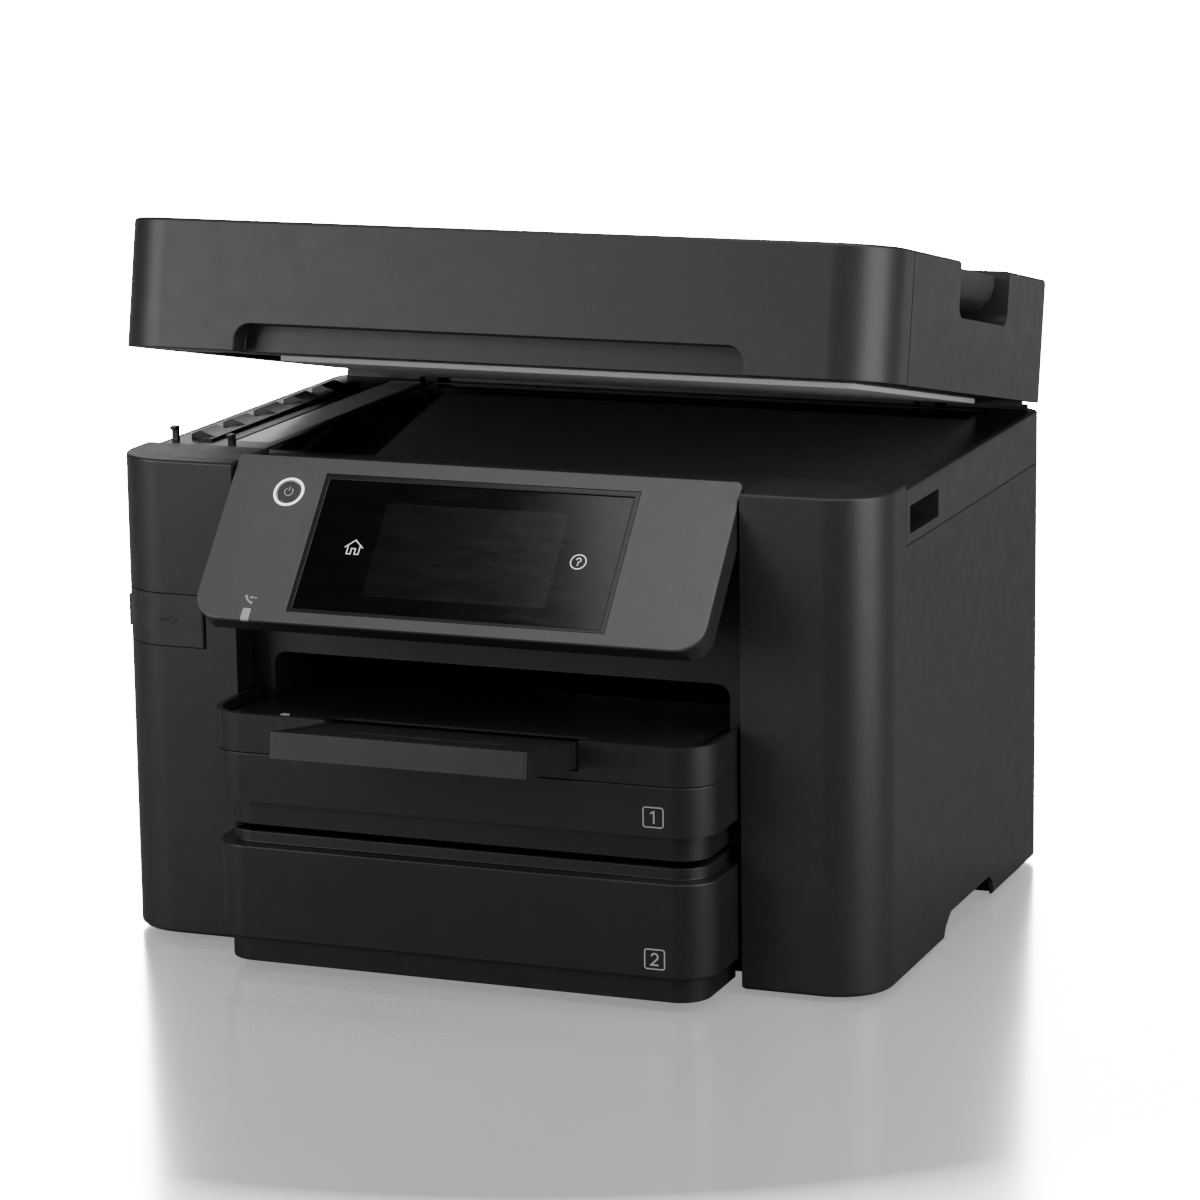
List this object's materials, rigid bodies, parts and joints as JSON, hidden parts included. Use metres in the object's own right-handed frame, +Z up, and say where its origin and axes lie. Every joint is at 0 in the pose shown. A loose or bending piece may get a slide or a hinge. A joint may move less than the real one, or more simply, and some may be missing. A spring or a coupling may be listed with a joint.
{
  "type": "inkjet printer",
  "caption": "All-in-one desktop inkjet printer: flatbed scanner under an opened feeder cover, tilted touch panel, output tray and stacked paper cassettes in a charcoal case.",
  "frame": {"origin": "on the table, under the middle of the overall box with the cover open and the output tray pulled out", "axes": "+Z up, -Y towards the user who stands in front, +X to that user's right"},
  "size_m": [0.425, 0.4471, 0.3853],
  "materials": {
    "housing_plastic": "fine textured charcoal",
    "lid_plastic": "fine textured charcoal",
    "cassette_plastic": "fine textured near black",
    "fascia_plastic": "smooth dark grey",
    "bezel_plastic": "gloss black",
    "display_face": "polished black display cover",
    "scanner_glass": "polished, dark behind",
    "pressing_mat": "soft white foam sheet",
    "inner_plastic": "black moulded",
    "light_guide": "milky, lit",
    "button_plastic": "satin black",
    "rubber": "matt black",
    "sheet_steel": "zinc-plated sheet",
    "shaft_steel": "ground",
    "motor_steel": "plated can",
    "circuit_board": "green solder mask",
    "cartridge_plastic": "satin dark grey",
    "socket_plastic": "moulded black",
    "felt_box": "natural translucent grey"
  },
  "bodies": {
    "base": {"left_housing": "housing_plastic", "right_housing": "housing_plastic", "front_frame": "housing_plastic", "base_pan": "inner_plastic", "rubber_feet": "rubber", "rear_panel": "housing_plastic", "steel_chassis": "sheet_steel", "carriage_belt": "rubber", "carriage_motor": "motor_steel", "platen": "inner_plastic", "eject_guide": "inner_plastic", "maintenance_station": "inner_plastic", "waste_ink_box": "felt_box", "power_supply": "inner_plastic", "main_board": "circuit_board", "ac_inlet": "socket_plastic", "interface_ports": "socket_plastic", "usb_host_port": "socket_plastic"},
    "scanner_unit": {"scanner_housing": "housing_plastic", "scanner_deck": "housing_plastic", "scanner_glass": "scanner_glass", "feeder_glass": "scanner_glass", "scan_rod": "shaft_steel", "hinge_bases": "inner_plastic"},
    "document_cover": {"lid_front_cover": "lid_plastic", "lid_shell": "lid_plastic", "lid_base": "lid_plastic", "document_mat": "pressing_mat", "feeder_frame": "inner_plastic"},
    "feeder_lid": {"feeder_cover": "lid_plastic"},
    "document_support": {"document_tray": "lid_plastic"},
    "feeder_wheel": {"feeder_roller": "rubber"},
    "control_panel": {"panel_housing": "housing_plastic", "panel_fascia": "fascia_plastic", "screen_bezel": "bezel_plastic", "touch_screen": "display_face", "power_ring": "light_guide", "fax_light": "light_guide"},
    "power_key": {"power_button": "button_plastic"},
    "memory_stick_door": {"usb_door": "housing_plastic"},
    "duplexer_cover": {"rear_cover": "housing_plastic"},
    "cassette_1": {"cassette_1_tray": "cassette_plastic", "cassette_1_front": "cassette_plastic", "cassette_1_cover": "cassette_plastic"},
    "guide_1_left": {"cassette_1_guide_left": "inner_plastic"},
    "guide_1_right": {"cassette_1_guide_right": "inner_plastic"},
    "cassette_2": {"cassette_2_tray": "cassette_plastic", "cassette_2_front": "cassette_plastic"},
    "guide_2_left": {"cassette_2_guide_left": "inner_plastic"},
    "guide_2_right": {"cassette_2_guide_right": "inner_plastic"},
    "exit_tray": {"output_tray": "cassette_plastic"},
    "stop_flap": {"paper_stop": "cassette_plastic"},
    "carriage": {"print_carriage": "inner_plastic", "ink_cartridges": "cartridge_plastic"},
    "pulley_right": {"drive_pulley": "inner_plastic"},
    "pulley_left": {"idler_pulley": "inner_plastic"},
    "feed_shaft": {"feed_roller": "rubber"},
    "eject_shaft": {"eject_roller": "rubber"},
    "pickup_shaft": {"pickup_roller": "rubber"},
    "scan_head": {"scan_bar": "inner_plastic"}
  },
  "joints": [
    {"name": "scanner_unit_hinge", "type": "hinge", "parent": "base", "child": "scanner_unit", "pos_m": [0, 0.1915, 0.2302], "axis": [-1, 0, 0], "range_deg": [0, 30]},
    {"name": "document_cover_hinge", "type": "hinge", "parent": "scanner_unit", "child": "document_cover", "pos_m": [0, 0.19, 0.266], "axis": [-1, 0, 0], "range_deg": [-11.2, 50]},
    {"name": "feeder_cover_hinge", "type": "hinge", "parent": "document_cover", "child": "feeder_lid", "pos_m": [-0.2047, 0.07838, 0.351], "axis": [0, -0.981, 0.1942], "range_deg": [0, 70]},
    {"name": "document_tray_hinge", "type": "hinge", "parent": "document_cover", "child": "document_support", "pos_m": [0, 0.11799, 0.33735], "axis": [-1, 0, 0], "range_deg": [0, 100]},
    {"name": "feeder_roller_spin", "type": "hinge", "parent": "document_cover", "child": "feeder_wheel", "pos_m": [-0.1, 0.07533, 0.3356], "axis": [0, 0.981, -0.1942], "continuous": true},
    {"name": "control_panel_hinge", "type": "hinge", "parent": "base", "child": "control_panel", "pos_m": [0, -0.098, 0.251], "axis": [-1, 0, 0], "range_deg": [-41.5, 13]},
    {"name": "power_button_travel", "type": "slide", "parent": "control_panel", "child": "power_key", "axis": [0, 0.749, -0.6626], "range_m": [0, 0.0008], "stiffness_N_per_m": 900, "springref_m": -0.0003},
    {"name": "memory_stick_door_hinge", "type": "hinge", "parent": "base", "child": "memory_stick_door", "pos_m": [-0.16, -0.10875, 0.17475], "axis": [0, 0, 1], "range_deg": [0, 85]},
    {"name": "rear_cover_pull", "type": "slide", "parent": "base", "child": "duplexer_cover", "axis": [0, 1, 0], "range_m": [0, 0.12]},
    {"name": "cassette_1_slide", "type": "slide", "parent": "base", "child": "cassette_1", "axis": [0, -1, 0], "range_m": [0, 0.26]},
    {"name": "cassette_1_guide_left_slide", "type": "slide", "parent": "cassette_1", "child": "guide_1_left", "axis": [1, 0, 0], "range_m": [0, 0.05]},
    {"name": "cassette_1_guide_right_slide", "type": "slide", "parent": "cassette_1", "child": "guide_1_right", "axis": [-1, 0, 0], "range_m": [0, 0.05]},
    {"name": "cassette_2_slide", "type": "slide", "parent": "base", "child": "cassette_2", "axis": [0, -1, 0], "range_m": [0, 0.26]},
    {"name": "cassette_2_guide_left_slide", "type": "slide", "parent": "cassette_2", "child": "guide_2_left", "axis": [1, 0, 0], "range_m": [0, 0.05]},
    {"name": "cassette_2_guide_right_slide", "type": "slide", "parent": "cassette_2", "child": "guide_2_right", "axis": [-1, 0, 0], "range_m": [0, 0.05]},
    {"name": "output_tray_slide", "type": "slide", "parent": "cassette_1", "child": "exit_tray", "axis": [0, -0.9871, 0.1599], "range_m": [-0.0695, 0]},
    {"name": "paper_stop_hinge", "type": "hinge", "parent": "exit_tray", "child": "stop_flap", "pos_m": [0, -0.21247, 0.14485], "axis": [1, 0, 0], "range_deg": [0, 100]},
    {"name": "carriage_travel", "type": "slide", "parent": "base", "child": "carriage", "axis": [-1, 0, 0], "range_m": [0, 0.288]},
    {"name": "drive_pulley_spin", "type": "hinge", "parent": "base", "child": "pulley_right", "pos_m": [0.184, 0.089, 0.196], "axis": [0, -1, 0], "range_deg": [-5, 2760]},
    {"name": "idler_pulley_spin", "type": "hinge", "parent": "base", "child": "pulley_left", "pos_m": [-0.184, 0.089, 0.196], "axis": [0, -1, 0], "range_deg": [-5, 2760]},
    {"name": "feed_roller_spin", "type": "hinge", "parent": "base", "child": "feed_shaft", "pos_m": [0, 0.068, 0.15], "axis": [1, 0, 0], "continuous": true},
    {"name": "eject_roller_spin", "type": "hinge", "parent": "base", "child": "eject_shaft", "pos_m": [0, 0.002, 0.149], "axis": [1, 0, 0], "continuous": true},
    {"name": "pickup_roller_spin", "type": "hinge", "parent": "base", "child": "pickup_shaft", "pos_m": [0, 0.122, 0.117], "axis": [1, 0, 0], "continuous": true},
    {"name": "scan_bar_travel", "type": "slide", "parent": "scanner_unit", "child": "scan_head", "axis": [1, 0, 0], "range_m": [0, 0.33]}
  ],
  "couplings": [
    {"joint": "cassette_1_guide_right_slide", "follows": "cassette_1_guide_left_slide", "ratio": 1},
    {"joint": "cassette_2_guide_right_slide", "follows": "cassette_2_guide_left_slide", "ratio": 1},
    {"joint": "drive_pulley_spin", "follows": "carriage_travel", "rad_per_m": 166.67},
    {"joint": "idler_pulley_spin", "follows": "carriage_travel", "rad_per_m": 166.67},
    {"joint": "eject_roller_spin", "follows": "feed_roller_spin", "ratio": 1.1333}
  ]
}
